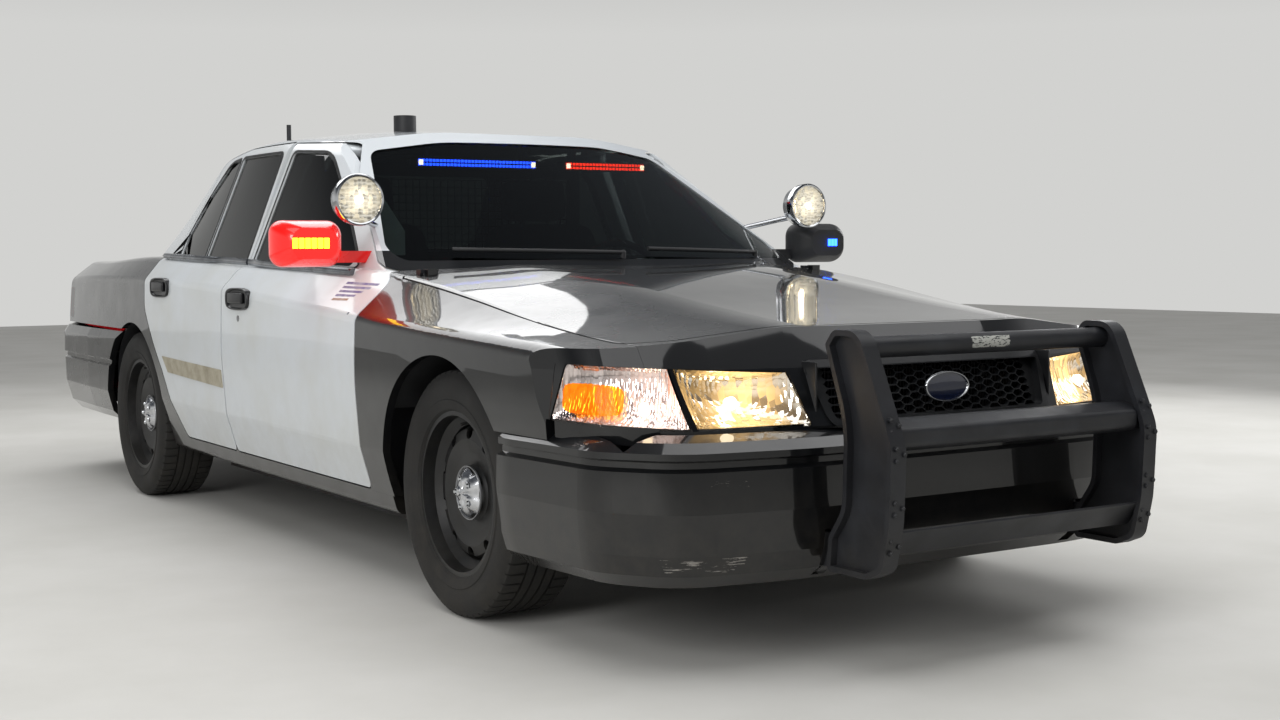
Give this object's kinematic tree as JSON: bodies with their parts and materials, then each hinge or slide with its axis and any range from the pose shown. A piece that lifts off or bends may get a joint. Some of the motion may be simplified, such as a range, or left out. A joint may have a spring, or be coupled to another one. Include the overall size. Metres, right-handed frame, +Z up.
{
  "type": "police patrol car",
  "caption": "Full-size patrol sedan with push bar, spotlights, opening doors, hood and trunk, steered front wheels and rolling wheels on a separate frame.",
  "frame": {"origin": "on the ground under the middle of the car's length and width", "axes": "+Z up, front towards -Y, the car's left side towards +X"},
  "size_m": [2.2544, 5.6287, 1.53],
  "materials": {
    "black_paint": "worn gloss black",
    "white_paint": "worn gloss white",
    "black_steel": "semi-matt black powder coat",
    "wheel_steel": "satin black enamel",
    "tyre_rubber": "matt black rubber",
    "chassis_steel": "matt black chassis paint",
    "cast_metal": "bare casting with light rust",
    "grille_plastic": "moulded black",
    "bumper_cover": "painted black cover with scrapes",
    "trim_plastic": "grained black",
    "red_housing": "red lit housing",
    "lamp_clear": "clear lens over reflector",
    "lamp_red": "red lens",
    "window_glass": "tinted safety glass",
    "seat_fabric": "dark woven cloth",
    "interior_plastic": "dark grained plastic",
    "led_housing": "black housing with small lamps",
    "spot_housing": "chromed shell with clear lens"
  },
  "bodies": {
    "car_body": {"body_shell": "white_paint", "firewall": "black_steel", "centre_pillars": "white_paint", "floor_pan": "chassis_steel", "rear_wheelhouses": "trim_plastic", "lid_hinges": "black_steel", "front_fenders": "black_paint", "inner_wings": "trim_plastic", "windshield": "window_glass", "rear_window": "window_glass", "header_panel": "black_paint", "grille": "grille_plastic", "headlamps": "lamp_clear", "tail_lamps": "lamp_red", "front_bumper": "bumper_cover", "rear_bumper": "bumper_cover", "push_bar": "black_steel", "spotlights": "spot_housing", "visor_light_bars": "led_housing", "antennas": "trim_plastic", "wipers": "trim_plastic", "front_suspension": "chassis_steel", "rear_axle": "cast_metal", "drive_shaft": "chassis_steel", "frame_rails": "chassis_steel", "engine_block": "cast_metal", "fuel_tank": "chassis_steel", "dashboard": "interior_plastic", "front_seats": "seat_fabric", "rear_seat": "interior_plastic", "partition": "black_steel", "steering_wheel": "interior_plastic"},
    "front_left_door": {"front_left_door": "white_paint", "front_left_glass": "window_glass", "left_mirror": "trim_plastic"},
    "front_right_door": {"front_right_door": "white_paint", "front_right_glass": "window_glass", "right_mirror": "red_housing"},
    "rear_left_door": {"rear_left_door": "white_paint", "rear_left_glass": "window_glass"},
    "rear_right_door": {"rear_right_door": "white_paint", "rear_right_glass": "window_glass"},
    "hood": {"hood": "black_paint"},
    "trunk_lid": {"trunk_lid": "black_paint"},
    "left_knuckle": {"left_knuckle": "cast_metal"},
    "right_knuckle": {"right_knuckle": "cast_metal"},
    "front_left_wheel": {"front_left_wheel": "wheel_steel", "front_left_tyre": "tyre_rubber"},
    "front_right_wheel": {"front_right_wheel": "wheel_steel", "front_right_tyre": "tyre_rubber"},
    "rear_left_wheel": {"rear_left_wheel": "wheel_steel", "rear_left_tyre": "tyre_rubber"},
    "rear_right_wheel": {"rear_right_wheel": "wheel_steel", "rear_right_tyre": "tyre_rubber"}
  },
  "joints": [
    {"name": "front_left_door_hinge", "type": "hinge", "parent": "car_body", "child": "front_left_door", "pos_m": [0.958, -0.915, 0.6], "axis": [0, 0, -1], "range_deg": [0, 66]},
    {"name": "front_right_door_hinge", "type": "hinge", "parent": "car_body", "child": "front_right_door", "pos_m": [-0.958, -0.915, 0.6], "axis": [0, 0, 1], "range_deg": [0, 66]},
    {"name": "rear_left_door_hinge", "type": "hinge", "parent": "car_body", "child": "rear_left_door", "pos_m": [0.958, 0.295, 0.6], "axis": [0, 0, -1], "range_deg": [0, 68]},
    {"name": "rear_right_door_hinge", "type": "hinge", "parent": "car_body", "child": "rear_right_door", "pos_m": [-0.958, 0.295, 0.6], "axis": [0, 0, 1], "range_deg": [0, 68]},
    {"name": "hood_hinge", "type": "hinge", "parent": "car_body", "child": "hood", "pos_m": [0, -1.035, 0.958], "axis": [-1, 0, 0], "range_deg": [0, 50]},
    {"name": "trunk_hinge", "type": "hinge", "parent": "car_body", "child": "trunk_lid", "pos_m": [0, 1.556, 1.025], "axis": [1, 0, 0], "range_deg": [0, 70]},
    {"name": "left_steering", "type": "hinge", "parent": "car_body", "child": "left_knuckle", "pos_m": [0.79, -1.53, 0.345], "axis": [0, 0, 1], "range_deg": [-32, 32]},
    {"name": "right_steering", "type": "hinge", "parent": "car_body", "child": "right_knuckle", "pos_m": [-0.79, -1.53, 0.345], "axis": [0, 0, 1], "range_deg": [-32, 32]},
    {"name": "front_left_wheel_spin", "type": "hinge", "parent": "left_knuckle", "child": "front_left_wheel", "pos_m": [0.805, -1.53, 0.345], "axis": [1, 0, 0], "continuous": true},
    {"name": "front_right_wheel_spin", "type": "hinge", "parent": "right_knuckle", "child": "front_right_wheel", "pos_m": [-0.805, -1.53, 0.345], "axis": [1, 0, 0], "continuous": true},
    {"name": "rear_left_wheel_spin", "type": "hinge", "parent": "car_body", "child": "rear_left_wheel", "pos_m": [0.833, 1.383, 0.345], "axis": [1, 0, 0], "continuous": true},
    {"name": "rear_right_wheel_spin", "type": "hinge", "parent": "car_body", "child": "rear_right_wheel", "pos_m": [-0.833, 1.383, 0.345], "axis": [1, 0, 0], "continuous": true}
  ],
  "couplings": [
    {"joint": "right_steering", "follows": "left_steering", "ratio": 1}
  ]
}
